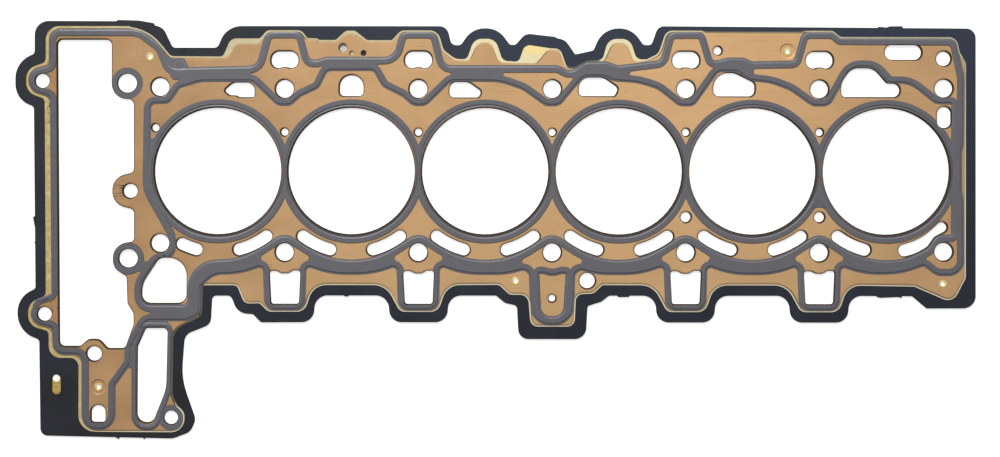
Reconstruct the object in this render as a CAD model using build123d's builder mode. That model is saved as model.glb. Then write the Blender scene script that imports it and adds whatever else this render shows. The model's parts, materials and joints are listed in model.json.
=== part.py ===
"""Multi-layer steel head gasket of an in-line six-cylinder engine.

Millimetres. The origin is the centre of bore 1 on the underside of the stack. +X runs along
the bores towards bore 6, +Y points to the intake side and +Z points up to the head.
"""

from build123d import *

import os
from math import radians, tan

# Bores
bore_diameter = 86.0
bore_web = 5.0
cylinders = 6

# Sheets, from the block upwards
lower_thickness = 0.25
carrier_thickness = 0.45
middle_thickness = 0.25
upper_thickness = 0.25
lower_inset = 1.2
middle_rim = 1.0
hole_step = 0.5

# Printed sealing track
track_width = 5.0
slot_track_width = 4.0
track_thickness = 0.08
bead_width = 2.2
bead_height = 0.14
bore_bead_line = 3.2
bore_ring_width = 5.3
bore_ring_gap = 0.6

# Holes
bolt_hole = 12.0
upper_bolt_line = 13.0
lower_bolt_line = 12.2
steam_hole = 4.8
drain_hole = 6.7
coolant_slot_width = 8.0
coolant_slot_line = 12.3
coolant_slot_start = 15.3
coolant_slot_sweep = 21.3

# Hollow rivets that hold the stack together, their lower flanges flush in coined seats
eyelet_bore = 3.2
eyelet_barrel = 4.0
eyelet_flange = 5.4
eyelet_flange_thickness = 0.12
eyelet_clearance = 0.1
dimple_diameter = 10.6
dimple_depth = 0.1

# Layer check holes and the slot in the carrier's corner
check_hole_large = 5.4
check_hole_small = 2.6
check_hole_dark = 3.4
slot_length = 13.7
slot_width = 5.9
slot_hole = 4.7

bore_radius = bore_diameter / 2
bore_pitch = bore_diameter + bore_web
carrier_base = lower_thickness
middle_base = carrier_base + carrier_thickness
upper_base = middle_base + middle_thickness
track_base = upper_base + upper_thickness
bolt_bays = [bay + 0.5 for bay in range(cylinders - 1)]
centre_bay = (cylinders - 1) / 2
last = cylinders - 1
window_bays = [bay for bay in bolt_bays if bay != centre_bay]


def up(bay, dx, out, radius=0.0):
    """A corner on the intake side: bores along, millimetres on, out from the bores' edge."""
    return (bay * bore_pitch + dx, bore_radius + out, radius)


def down(bay, dx, out, radius=0.0):
    """A corner on the exhaust side, given the same way."""
    return (bay * bore_pitch + dx, -bore_radius - out, radius)


def allowed_radii(corners):
    """The corners' radii, each no larger than its two sides leave room for."""
    count = len(corners)
    points = [Vector(x, y) for x, y, _ in corners]
    sides = [(points[(i + 1) % count] - points[i]) for i in range(count)]
    needs = []
    for i, (_, _, radius) in enumerate(corners):
        turn = sides[i - 1].get_angle(sides[i])
        needs.append(radius * tan(radians(turn) / 2))
    radii = []
    for i, (_, _, radius) in enumerate(corners):
        share = 1.0
        for side, other in ((sides[i - 1], i - 1), (sides[i], (i + 1) % count)):
            wanted = needs[i] + needs[other]
            if wanted > 0.96 * side.length:
                share = min(share, 0.96 * side.length / wanted)
        radii.append(radius * share)
    return radii


def rounded(corners):
    """The closed line through the corners, with an arc at each that has a radius."""
    with BuildLine() as line:
        FilletPolyline(*[(x, y) for x, y, _ in corners], radius=allowed_radii(corners), close=True)
    return line.edges()


def plate(corners, mode=Mode.ADD):
    """A filled outline with rounded corners."""
    make_face(rounded(corners), mode=mode)


def band(corners, width):
    """A closed track of one width along the corners."""
    trace(rounded(corners), line_width=width)


def disc(place, diameter, mode=Mode.ADD):
    """A round at a corner's place."""
    with Locations((place[0], place[1])):
        Circle(diameter / 2, mode=mode)


def carrier_ear(bay):
    """The carrier's edge round one of the plain drain windows, from right to left."""
    return [
        down(bay, 20.8, 41.8, 9),
        down(bay, 19.5, 60.0, 8.5),
        down(bay, -19.3, 60.0, 8.5),
        down(bay, -20.6, 41.8, 9),
    ]


def upper_ear(bay):
    """The upper sheet's edge round one of the plain drain windows, from right to left."""
    return [
        down(bay, 18.9, 33.6, 13),
        down(bay, 12.8, 51.8, 6.5),
        down(bay, -11.9, 51.8, 5),
        down(bay, -21.7, 33.6, 15),
    ]


# Outer edge of the carrier, clockwise from the ear at the timing end
carrier_edge = [
    up(0, -125.1, 36.9, 3),
    up(0, -125.1, 59.2, 9.5),
    up(0, -52.0, 59.0, 20),
    up(0, -37.5, 54.5, 8),
    up(0, -31.0, 41.0, 3),
    up(0, -0.5, 41.0, 3.5),
    up(0, 5.8, 55.8, 15),
    up(1.5, 19.3, 55.8, 6.5),
    up(2, -23.0, 42.9, 4),
    up(2, -16.7, 42.9, 3.5),
    up(2, -8.9, 54.4, 15.5),
    up(2, 8.6, 54.4, 15.5),
    up(2, 16.7, 43.1, 3.5),
    up(2.5, -24.9, 43.1, 3.5),
    up(2.5, -18.1, 50.9, 7),
    up(2.5, 2.3, 48.6, 0.5),
    up(2.5, 2.9, 47.9, 0.5),
    up(2.5, 9.1, 46.3, 8),
    up(2.5, 15.8, 36.6, 1.5),
    up(3, -17.2, 39.4, 2.5),
    up(3, -10.8, 54.4, 16),
    up(3, 8.6, 54.4, 15.8),
    up(3, 16.8, 43.1, 3),
    up(3.5, -23.3, 43.0, 3),
    up(3.5, -18.6, 55.9, 5.5),
    up(last, 61.1, 54.5, 6.5),
    down(last, 61.3, 50.2, 8.5),
    down(last, 27.8, 50.3, 1.2),
    down(last, 18.0, 42.0, 3),
    *carrier_ear(4.5),
    *carrier_ear(3.5),
    down(3, -6.5, 41.8, 3),
    down(3, -11.7, 45.9, 4),
    down(2.5, 24.3, 48.9, 2),
    down(2.5, 23.1, 71.4, 8),
    down(2.5, -22.6, 71.4, 7),
    down(2.5, -23.8, 48.6, 3),
    down(2, 13.6, 46.9, 5),
    down(2, 7.5, 41.8, 2),
    *carrier_ear(1.5),
    down(0.5, 20.8, 41.8, 9),
    down(0.5, 19.5, 60.0, 8.5),
    down(0.5, -16.3, 60.2, 3),
    down(0.5, -21.6, 54.6, 2),
    down(0, 13.4, 53.9, 10),
    down(0, 8.8, 42.0, 3.5),
    down(0, -3.9, 42.0, 3),
    down(0, -5.0, 61.6, 6.5),
    down(0, -22.6, 68.6, 7.5),
    down(0, -24.9, 98.4, 50),
    down(0, -15.1, 126.3, 8),
    down(0, -18.6, 134.8, 8),
    down(0, -30.5, 139.4, 12),
    down(0, -120.9, 137.4, 5),
    down(0, -121.8, 72.0, 3),
    down(0, -136.6, 66.5, 17.5),
    down(0, -136.6, 42.4, 16),
    down(0, -124.4, 37.4, 2.8),
    up(0, -125.6, 0.9, 3),
    up(0, -138.2, 5.2, 17),
    up(0, -138.2, 31.4, 17),
]

# What is left of the strip's tabs on the carrier's edge, where the blanking die tore them
tab_stubs = [
    [up(0, -70.3, 58.0), up(0, -68.6, 59.9), up(0, -54.0, 59.5), up(0, -43.8, 57.7),
     up(0, -42.9, 55.0), up(0, -50.0, 55.0)],
    [up(last, -6.5, 54.0), up(last, -5.0, 55.7), up(last, 0.4, 55.2), up(last, 2.5, 56.0),
     up(last, 11.0, 56.1), up(last, 12.0, 54.0)],
    [down(last, 11.2, 41.0), down(last, 10.9, 43.2), down(last, 8.5, 42.6), down(last, -3.4, 43.1),
     down(last, -6.0, 42.6), down(last, -6.4, 41.0)],
    [down(3, 8.5, 41.0), down(3, 6.8, 42.7), down(3, -0.2, 42.8), down(3, -1.8, 41.0)],
    [down(1, -0.8, 41.0), down(1, -2.4, 42.5), down(1, -4.8, 42.4), down(1, -6.4, 41.0)],
    [down(0, -48.6, 138.0), down(0, -49.8, 139.9), down(0, -51.0, 139.2), down(0, -51.4, 138.0)],
    [down(0, -66.2, 138.0), down(0, -67.6, 139.8), down(0, -69.6, 138.7), down(0, -69.9, 137.5)],
    [down(0, -124.2, 4.6), down(0, -125.3, 6.0), down(0, -124.2, 7.2)],
    [down(0, -124.5, -12.6), down(0, -126.1, -11.4), down(0, -125.4, -7.0), down(0, -124.5, -3.0)],
]

# Outer edge of the upper sheet, clockwise from the ear at the timing end
upper_edge = [
    up(0, -115.3, 29.9, 4.5),
    up(0, -115.3, 54.2, 8),
    up(0, -49.2, 54.2, 30),
    up(0, -32.7, 34.2, 5),
    up(0, 6.9, 33.9, 4),
    up(0, 12.0, 43.7, 5),
    up(0.5, -17.5, 43.7, 3),
    up(0.5, -11.3, 51.9, 5),
    up(0.5, 10.7, 51.9, 4.5),
    up(0.5, 14.8, 46.5, 2.5),
    up(1, -24.5, 46.5, 2),
    up(1, -22.0, 45.3, 2),
    up(1, -10.3, 45.3, 5),
    up(1, -3.5, 50.3, 6),
    up(1, 1.8, 50.3, 6),
    up(1, 9.8, 45.2, 5),
    up(1.5, -17.7, 45.2, 3),
    up(1.5, -11.6, 51.9, 5),
    up(1.5, 12.4, 51.9, 6.5),
    up(1.5, 16.1, 38.9, 8),
    up(2, -20.5, 32.3, 10),
    up(2, -10.8, 32.3, 3.5),
    up(2, -5.2, 44.6, 6.5),
    up(2, 4.0, 44.6, 6),
    up(2, 9.2, 31.0, 5),
    up(2.5, -10.9, 30.4, 3.5),
    up(2.5, -3.1, 39.7, 5),
    up(2.5, 4.7, 39.7, 4.5),
    up(2.5, 9.2, 26.9, 4.5),
    up(2.5, 15.5, 26.9, 3),
    up(3, -21.5, 31.4, 6),
    up(3, -10.2, 32.0, 3),
    up(3, -4.4, 44.5, 6.5),
    up(3, 5.3, 44.5, 6),
    up(3, 9.9, 31.8, 4),
    up(3, 18.5, 31.9, 10),
    up(3.5, -17.6, 36.6, 8),
    up(3.5, -12.6, 51.9, 5),
    up(3.5, 11.0, 51.9, 1.5),
    up(3.5, 12.5, 51.2, 1.5),
    up(4.5, -12.0, 51.2, 1.5),
    up(4.5, -10.0, 51.9, 1.5),
    up(4.5, 8.9, 51.9, 3),
    up(4.5, 14.1, 47.7, 2.5),
    up(last, 47.3, 47.6, 5.5),
    up(last, 49.0, 38.5, 5),
    up(last, 53.4, 30.6, 6),
    down(last, 53.4, 29.2, 5),
    down(last, 45.0, 45.3, 6.5),
    down(last, 19.5, 34.3, 5),
    *upper_ear(4.5),
    *upper_ear(3.5),
    down(3, -11.5, 33.5, 3.5),
    down(2.5, 28.0, 39.3, 4),
    down(2.5, 15.4, 39.8, 6),
    down(2.5, 14.5, 61.8, 4.5),
    down(2.5, -13.6, 61.8, 4.5),
    down(2.5, -15.3, 40.2, 7),
    down(2, 17.0, 40.1, 4),
    down(2, 9.9, 33.4, 5),
    *upper_ear(1.5),
    down(0.5, 18.9, 33.6, 13),
    down(0.5, 12.8, 51.8, 6.5),
    down(0.5, -10.9, 51.8, 5),
    down(0.5, -16.7, 46.0, 4),
    down(0, 18.7, 46.3, 4),
    down(0, 13.6, 33.8, 4.5),
    down(0, -11.2, 33.8, 2.5),
    down(0, -11.9, 55.4, 4.5),
    down(0, -31.4, 64.7, 13),
    down(0, -31.9, 109.3, 8),
    down(0, -28.5, 117.4, 4),
    down(0, -23.7, 121.8, 6),
    down(0, -23.8, 134.0, 8.3),
    down(0, -92.8, 133.7, 10.5),
    down(0, -92.8, 82.3, 7),
    down(0, -112.5, 82.3, 8),
    down(0, -113.0, 64.8, 4.5),
    down(0, -127.4, 61.0, 8),
    down(0, -127.4, 48.7, 8),
    down(0, -113.3, 44.0, 5),
    up(0, -114.5, 6.9, 5),
    up(0, -129.2, 12.0, 9),
    up(0, -129.2, 25.7, 9),
]

# Where the middle sheet reaches further out than an even rim round the upper one
middle_lands = [
    [up(0, -117.4, 31.0, 3.5), up(0, -117.4, 55.6, 9.3), up(0, -60.0, 55.6), up(0, -60.0, 40.0),
     up(0, -100.0, 30.0), down(0, -100.0, 80.0), down(0, -88.0, 80.0), down(0, -88.0, 127.0),
     down(0, -60.0, 127.0), down(0, -60.0, 134.6), down(0, -94.9, 134.6, 11),
     down(0, -94.9, 84.4, 6), down(0, -115.1, 84.4, 8), down(0, -115.3, 66.2, 3.5),
     down(0, -129.2, 62.3, 9), down(0, -129.2, 47.2, 9), down(0, -117.2, 41.9, 4),
     up(0, -118.1, 6.2, 3.5), up(0, -130.7, 10.4, 9.5), up(0, -130.7, 26.4, 9.5)],
    [up(0, -2.0, 34.9), up(0, 3.4, 34.9, 4), up(0, 8.6, 47.3, 6), up(0.5, -17.1, 47.3, 3),
     up(0.5, -12.1, 52.9, 4), up(0.5, -5.5, 52.9), up(0.5, -5.5, 37.0), up(0, -2.0, 27.0)],
    [up(1, -12.5, 46.2), up(1, -11.0, 46.2, 5), up(1, -4.0, 52.7, 5), up(1, 2.3, 52.7, 5),
     up(1, 10.5, 46.2, 4), up(1, 13.0, 46.2), up(1, 13.0, 42.0), up(1, -12.5, 42.0)],
    [up(2, -17.0, 33.3), up(2, -12.4, 33.3, 4), up(2, -7.7, 47.2, 7.5), up(2, 6.8, 47.2, 7.5),
     up(2, 11.9, 32.0, 5), up(2, 18.0, 32.0), up(2, 18.0, 29.0), up(2, -17.0, 29.0)],
    [up(2.5, -27.5, 31.6), up(2.5, -22.6, 31.6, 4), up(2.5, -18.6, 43.4, 5), up(2.5, -1.5, 40.8),
     up(2.5, -1.5, 31.0), up(2.5, -27.5, 29.0)],
    [up(3, -15.0, 32.8), up(3, -11.2, 32.8, 4), up(3, -7.2, 47.2, 7.5), up(3, 7.6, 47.2, 7.5),
     up(3, 12.0, 33.3, 5), up(3, 20.0, 33.3), up(3, 20.0, 30.0), up(3, -15.0, 30.0)],
]

# Window over the timing chain case
chain_window = [
    up(0, -109.2, 46.3, 3.5),
    up(0, -72.6, 46.3, 3.5),
    up(0, -72.6, 6.0, 10.7),
    up(0, -57.5, 6.0, 4),
    down(0, -57.4, -42.1, 3.5),
    down(0, -72.1, -38.6, 11),
    down(0, -72.1, -20.2, 11),
    down(0, -57.3, -16.8, 3.5),
    down(0, -57.2, 5.0, 3),
    down(0, -71.7, 7.4, 10.5),
    down(0, -71.7, 23.0, 9),
    down(0, -62.3, 28.9, 2.5),
    down(0, -61.7, 47.3, 3),
    down(0, -57.6, 53.8, 4),
    down(0, -57.5, 61.6, 2),
    down(0, -63.3, 77.7, 3),
    down(0, -74.8, 77.7, 2.5),
    down(0, -80.6, 71.4, 6),
    down(0, -88.2, 71.4, 6),
    down(0, -93.6, 76.2, 2.5),
    down(0, -107.7, 76.2, 3.5),
]

# Coolant ports on the intake side, one to a bore and each larger than the last
intake_ports = [
    [up(0, 4.2, 11.8, 1.5), up(0, 10.5, 17.2, 6), up(0, 22.3, 17.2, 5), up(0, 24.8, 13.5, 3),
     up(0, 24.6, 7.4, 1), up(0, 14.8, 7.4, 2), up(0, 12.3, 8.6, 2), up(0, 8.2, 8.7, 2)],
    [up(1, -8.0, 8.2, 3), up(1, -8.0, 22.2, 7.8), up(1, 8.0, 22.2, 7.8), up(1, 8.0, 8.2, 3)],
    [up(2, -24.4, 7.3, 3), up(2, -24.4, 17.7, 5), up(2, -11.5, 17.7, 9), up(2, -2.4, 11.2, 2.5),
     up(2, -4.8, 7.3, 2)],
    [up(3, -27.3, 8.3, 3), up(3, -27.3, 20.8, 7), up(3, -10.5, 20.8, 9), up(3, -0.4, 13.8, 3),
     up(3, -2.8, 8.3, 2.5)],
    [up(4, -26.6, 8.2, 4), up(4, -26.6, 24.0, 10), up(4, -12.5, 24.0, 10), up(4, 1.4, 17.2, 3.5),
     up(4, 1.2, 8.2, 4)],
    [up(5, -30.5, 7.8, 3), up(5, -30.3, 17.5, 10), up(5, -23.5, 27.3, 9), up(5, -8.5, 27.3, 10),
     up(5, 0.3, 17.0, 2.5), up(5, 9.1, 16.6, 4.2), up(5, 9.1, 7.8, 4.2)],
]

# Single openings at the ends, the long coolant slot of the last bore first
end_openings = [
    [down(last, 8.0, 7.6, 3.9), down(last, 23.8, 3.3, 38), down(last, 38.0, -9.8, 4),
     down(last, 43.4, -4.1, 4), down(last, 33.0, 1.4, 5), down(last, 28.4, 8.0, 4),
     down(last, 20.4, 13.1, 35), down(last, 9.5, 15.5, 3.9)],
    [up(last, -0.8, 33.2, 4.5), up(last, -0.8, 43.1, 4.5), up(last, 23.9, 43.1, 4.8),
     up(last, 23.9, 33.2, 4.8)],
    [up(last, 34.9, -13.2, 4.2), up(last, 34.9, 1.0, 4.5), up(last, 44.1, 1.0, 4.5),
     up(last, 44.1, -13.2, 4.2)],
    [down(0, -86.0, 116.6, 4.7), down(0, -76.6, 116.6, 4.7), down(0, -76.6, 128.0, 2),
     down(0, -86.0, 128.0, 2)],
    [down(0, -39.8, 16.2, 6), down(0, -51.5, 33.8, 16), down(0, -51.8, 46.9, 6),
     down(0, -21.5, 46.9, 6), down(0, -21.4, 16.2, 12)],
    [down(0, -49.0, 64.1, 2.5), down(0, -54.6, 76.6, 2), down(0, -54.9, 128.2, 6.5),
     down(0, -44.3, 128.2, 5.5), down(0, -35.2, 105.5, 30), down(0, -34.3, 64.1, 3)],
]


def kidney(bay):
    """The oil return over an upper bolt, with a hollow in its lower edge."""
    return [
        up(bay, -9.1, 27.2, 5.3),
        up(bay, -9.1, 38.4, 5.5),
        up(bay, 9.1, 38.4, 5.5),
        up(bay, 9.1, 27.2, 5.3),
        up(bay, 3.5, 27.2, 2),
        up(bay, 2.0, 27.9, 3),
        up(bay, -2.0, 27.9, 3),
        up(bay, -3.5, 27.2, 2),
    ]


def drain_window(bay):
    """The drain window under a lower bolt, with a wave along its upper edge."""
    return [
        down(bay, -10.3, 25.1, 1.8),
        down(bay, -9.1, 47.4, 1.8),
        down(bay, 9.6, 47.4, 1.8),
        down(bay, 10.6, 24.8, 1.8),
        down(bay, 5.8, 24.8, 2),
        down(bay, 2.3, 26.8, 3),
        down(bay, -2.3, 26.8, 3),
        down(bay, -5.8, 25.1, 2),
    ]


bolt_places = [
    *[up(bay, 0, upper_bolt_line) for bay in bolt_bays],
    *[down(bay, 0, lower_bolt_line) for bay in bolt_bays],
    up(0, -39.3, 14.2),
    up(last, 39.2, 13.6),
    down(0, -39.3, 6.1),
    down(last, 39.2, 11.6),
]

# Oil feeds, dowels and cover screws, each with its own diameter
oil_feed = (up(0, -61.8, 16.8), 12.8)
oil_return = (down(0, -61.0, 16.5), 12.5)
foot_hole = (down(0, -31.8, 124.9), 9.2)
round_holes = [
    oil_feed,
    oil_return,
    foot_hole,
    (up(0, -119.6, 18.3), 9.5),
    (down(0, -118.0, 54.5), 9.3),
    (down(0, -84.1, 81.4), 9.8),
    (down(0, -59.5, -29.4), 9.4),
    (down(2.5, 24.0, 31.4), 10.4),
    (up(last, 39.0, 33.9), 9.7),
    (up(3.5, 21.6, 39.2), 5.3),
    (down(2.5, 0, 43.4), 4.6),
    (up(0, -42.4, -13.5), steam_hole),
    *[(up(bay, 0, -16.4), steam_hole) for bay in bolt_bays],
    *[(down(bay, 0, -11.9), drain_hole) for bay in bolt_bays[3:]],
]

eyelet_places = [
    up(0, -46.4, 35.0),
    up(4.5, -21.8, 38.9),
    down(2.5, -24.7, 31.4),
    down(last, 38.7, 33.3),
    down(0, -81.3, 104.1),
]
dimple_places = [eyelet_places[1], eyelet_places[4]]

check_large_place = up(1, -5.8, 41.0)
check_small_place = up(1, 0.2, 37.1)
check_dark_place = up(1, 8.3, 37.2)
slot_place = down(0, -110.1, 102.5)
slot_hole_place = down(0, -110.3, 98.4)


def arc_slot(bay, start, sweep, grow):
    """A coolant slot on a circle round one bore, from start degrees off straight down."""
    with BuildLine() as path:
        CenterArc((bay * bore_pitch, 0), bore_radius + coolant_slot_line, 270 + start, sweep)
    SlotArc(path.edge(), coolant_slot_width + 2 * grow)


def grown_plate(corners, grow):
    """A filled outline, let out evenly by grow."""
    with BuildSketch() as opening:
        make_face(rounded(corners))
        if grow:
            offset(amount=grow)
    add(opening.sketch)


def openings(grow):
    """Every hole that goes through the stack, let out by grow in the sheets over the carrier."""
    with BuildSketch() as cut:
        for bay in range(cylinders):
            disc((bay * bore_pitch, 0), bore_diameter + 2 * grow)
            if bay > 0:
                arc_slot(bay, -coolant_slot_start, -coolant_slot_sweep, grow)
            else:
                arc_slot(bay, -coolant_slot_start, -coolant_slot_sweep / 2, grow)
            if bay < last:
                arc_slot(bay, coolant_slot_start, coolant_slot_sweep, grow)
        for place in bolt_places:
            disc(place, bolt_hole + 2 * grow)
        for place, diameter in round_holes:
            disc(place, diameter + 2 * grow)
        for corners in [chain_window, *intake_ports, *end_openings]:
            grown_plate(corners, grow)
        for bay in window_bays:
            grown_plate(kidney(bay), grow)
            grown_plate(drain_window(bay), grow)
        for place in eyelet_places:
            disc(place, eyelet_barrel + 2 * eyelet_clearance)
    return cut.sketch


through_cut = openings(0)
upper_cut = openings(hole_step)


# Carrier, the thick dark sheet whose rim shows all round
with BuildSketch() as carrier_blank:
    plate(carrier_edge)

with BuildPart() as carrier_layer:
    with BuildSketch(Plane.XY.offset(carrier_base)):
        plate(carrier_edge)
        for stub in tab_stubs:
            plate(stub)
        add(through_cut, mode=Mode.SUBTRACT)
        with Locations((slot_place[0], slot_place[1])):
            SlotOverall(slot_length, slot_width, rotation=90, mode=Mode.SUBTRACT)
        disc(check_large_place, check_hole_large, mode=Mode.SUBTRACT)
    extrude(amount=carrier_thickness)

# Lower sheet, seen only through the slot and the largest check hole
with BuildPart() as lower_layer:
    with BuildSketch():
        add(carrier_blank.sketch)
        offset(amount=-lower_inset)
        add(through_cut, mode=Mode.SUBTRACT)
        disc(slot_hole_place, slot_hole, mode=Mode.SUBTRACT)
    extrude(amount=lower_thickness)
    with BuildSketch():
        for place in eyelet_places:
            disc(place, eyelet_flange + 2 * eyelet_clearance)
    extrude(amount=eyelet_flange_thickness, mode=Mode.SUBTRACT)

# Middle sheet, a pale rim round the upper one
with BuildPart() as middle_layer:
    with BuildSketch(Plane.XY.offset(middle_base)):
        plate(upper_edge)
        offset(amount=middle_rim)
        for land in middle_lands:
            plate(land)
        add(upper_cut, mode=Mode.SUBTRACT)
        disc(check_large_place, check_hole_large, mode=Mode.SUBTRACT)
        disc(check_dark_place, check_hole_dark, mode=Mode.SUBTRACT)
    extrude(amount=middle_thickness)

# Upper sheet, with a shallow coined dish round two of the eyelets
with BuildPart() as upper_layer:
    with BuildSketch(Plane.XY.offset(upper_base)):
        plate(upper_edge)
        add(upper_cut, mode=Mode.SUBTRACT)
        disc(check_large_place, check_hole_large, mode=Mode.SUBTRACT)
        disc(check_small_place, check_hole_small, mode=Mode.SUBTRACT)
        disc(check_dark_place, check_hole_dark, mode=Mode.SUBTRACT)
    extrude(amount=upper_thickness)
    with BuildSketch(Plane.XY.offset(track_base)):
        for place in dimple_places:
            disc(place, dimple_diameter)
    extrude(amount=-dimple_depth, mode=Mode.SUBTRACT)

# Centre lines of the printed tracks. The inner one goes round the bores and the coolant
inner_track = [
    down(0, -48.9, -30.5, 25),
    up(0, -47.9, 5.1, 5.5),
    up(0, -34.6, 5.1, 4),
    up(0, -27.4, 15.5, 4),
    up(0, -12.0, 20.1, 20),
    up(0.5, -21.3, 20.3, 8),
    up(0.5, -4.0, 3.8, 5.5),
    up(0.5, 2.9, 3.8, 5),
    up(0.5, 9.7, 9.8, 8),
    up(0.5, 21.5, 15.4, 6),
    up(0.5, 27.5, 27.6, 6),
    up(1.5, -29.3, 27.7, 6),
    up(1.5, -22.9, 16.3, 6),
    up(1.5, -9.7, 9.8, 8),
    up(1.5, -2.9, 3.8, 5),
    up(1.5, 4.0, 3.8, 5.5),
    up(1.5, 21.3, 20.6, 8),
    up(2, 11.0, 20.2, 40),
    up(2.5, -19.0, 14.6, 20),
    up(2.5, -3.7, 3.8, 5.5),
    up(2.5, 3.9, 3.8, 5),
    up(2.5, 20.5, 23.8, 9),
    up(3, -10.5, 23.8, 9),
    up(3, -2.0, 20.6, 9),
    up(3, 13.0, 19.8, 50),
    up(3.5, -18.0, 15.2, 20),
    up(3.5, -3.7, 3.8, 5.5),
    up(3.5, 4.4, 3.8, 5),
    up(3.5, 20.9, 27.2, 8),
    up(4, -9.5, 27.2, 8),
    up(4, -0.8, 20.9, 6),
    up(4, 13.0, 19.6, 40),
    up(4.5, -19.0, 14.4, 20),
    up(4.5, -3.9, 3.8, 5),
    up(4.5, 5.5, 3.8, 5),
    up(4.5, 20.2, 30.3, 14),
    up(last, -7.4, 30.3, 15),
    up(last, 2.6, 19.4, 3),
    up(last, 16.8, 19.3, 20),
    up(last, 34.4, 5.4, 6),
    up(last, 46.7, 5.2, 3),
    down(last, 46.7, 2.2, 3),
    down(last, 35.2, 2.3, 5),
    down(last, 29.9, 11.0, 8),
    down(last, 12.0, 19.7, 40),
]
for bay in reversed(bolt_bays):
    inner_track += [down(bay, 28.8, 19.7, 55), down(bay, 0, 1.3, 9), down(bay, -28.8, 19.7, 55)]
inner_track += [
    down(0, -18.1, 19.7, 18),
    down(0, -18.2, 50.4, 6),
    down(0, -54.3, 50.4, 8.5),
    down(0, -54.4, 33.3, 14),
    down(0, -42.6, 15.4, 8),
    down(0, -31.1, 15.4, 7),
    down(0, -31.1, 1.0, 7),
]


def window_track(bay):
    """The outer track where it goes round a drain window, from right to left."""
    return [
        down(bay, 31.0, 25.1, 60),
        down(bay, 12.4, 18.2, 5.0),
        down(bay, 11.7, 49.5, 5.5),
        down(bay, -11.4, 49.5, 5.5),
        down(bay, -12.6, 18.2, 5.0),
        down(bay, -31.0, 25.1, 60),
    ]


# The outer track follows the edge and takes in the oil returns
outer_track = [
    up(0, -112.7, 27.6, 4.5),
    up(0, -112.7, 51.6, 5.5),
    up(0, -54.5, 51.6, 14),
    up(0, -40.3, 41.1, 12),
    up(0, -33.6, 24.9, 8),
    up(0.5, -17.5, 26.4, 9),
    up(0.5, -11.1, 50.1, 4.5),
    up(0.5, 9.7, 50.1, 4.5),
    up(0.5, 14.9, 30.6, 6),
    up(0.5, 22.0, 30.4, 6),
    up(1, -17.5, 32.5, 8),
    up(1.5, -15.2, 32.4, 11),
    up(1.5, -10.5, 50.1, 4.5),
    up(1.5, 10.1, 50.1, 4.5),
    up(1.5, 16.0, 26.8, 8),
    up(2.5, 3.5, 26.9, 8),
    up(2.5, 9.7, 23.6, 6),
    up(2.5, 14.7, 23.6, 6),
    up(2.5, 23.0, 29.3, 8),
    up(3, -8.5, 29.5, 8),
    up(3, -1.2, 26.7, 8),
    up(3.5, -15.1, 30.6, 7),
    up(3.5, -10.1, 50.1, 4.5),
    up(3.5, 10.5, 50.1, 4.5),
    up(3.5, 16.5, 30.2, 5),
    up(3.5, 23.0, 30.4, 5),
    up(4, -17.0, 32.2, 8),
    up(4, -6.5, 32.2, 8),
    up(4, -1.0, 29.6, 8),
    up(4.5, -15.5, 30.1, 5),
    up(4.5, -9.9, 50.1, 4.5),
    up(4.5, 8.5, 50.1, 4),
    up(4.5, 13.3, 46.0, 4),
    up(last, 45.5, 45.6, 5),
    up(last, 50.8, 21.0, 20),
    up(last, 50.4, -23.0, 8),
    up(last, 49.2, -30.0, 8),
    down(last, 49.2, -30.0, 8),
    down(last, 50.4, -23.0, 8),
    down(last, 50.9, 25.7, 8.5),
    down(last, 35.2, 25.6, 8),
    down(last, 26.2, 18.6, 5),
    down(last, 10.0, 24.2, 50),
    *window_track(4.5),
    *window_track(3.5),
    down(2.5, 31.0, 25.1, 50),
    down(2.5, 13.5, 20.0, 7),
    down(2.5, 12.6, 59.6, 11.5),
    down(2.5, -12.2, 59.6, 11.5),
    down(2.5, -13.4, 20.0, 7),
    down(2.5, -31.0, 25.1, 50),
    *window_track(1.5),
    *window_track(0.5),
    down(0, -3.0, 25.0, 18),
    down(0, -13.9, 34.5, 6),
    down(0, -14.3, 53.3, 4),
    down(0, -22.0, 56.8, 6),
    down(0, -50.0, 56.8, 8),
    down(0, -60.9, 76.5, 8),
    down(0, -61.1, 87.2, 5),
    down(0, -72.0, 102.2, 5),
    down(0, -72.1, 131.1, 8.5),
    down(0, -90.3, 131.1, 8.5),
    down(0, -90.3, 79.8, 7),
    down(0, -110.0, 79.8, 5.5),
    down(0, -110.4, 62.4, 4.5),
    down(0, -124.9, 58.3, 6.6),
    down(0, -124.9, 46.4, 6.6),
    down(0, -111.3, 41.7, 5),
    up(0, -112.4, 9.2, 5),
    up(0, -126.7, 13.6, 6.4),
    up(0, -126.7, 23.6, 6.4),
]

# Short loops inside the outer one
slot_track = [
    down(0, -56.8, 131.6, 7.8),
    down(0, -42.3, 131.6, 6.4),
    down(0, -33.4, 106.0, 15),
    down(0, -32.6, 61.8, 4),
    down(0, -50.8, 61.8, 4),
    down(0, -56.8, 75.8, 4),
]
centre_track = [
    down(2.5, -11.0, 24.5, 3),
    down(2.5, -9.6, 58.0, 9),
    down(2.5, 9.9, 58.0, 9),
    down(2.5, 11.8, 24.5, 3),
    down(2.5, 6.4, 24.4, 4),
    down(2.5, 1.8, 25.7, 5),
    down(2.5, -1.3, 25.7, 5),
    down(2.5, -5.9, 24.4, 4),
]


def kite(bay, reach, out):
    """A notch in a fill, for the point of the bare ground round a bolt."""
    back = reach - 1.6 if reach > 0 else reach + 1.6
    return [down(bay, back, out - 2.9), down(bay, reach, out), down(bay, back, out + 2.6)]


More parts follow.
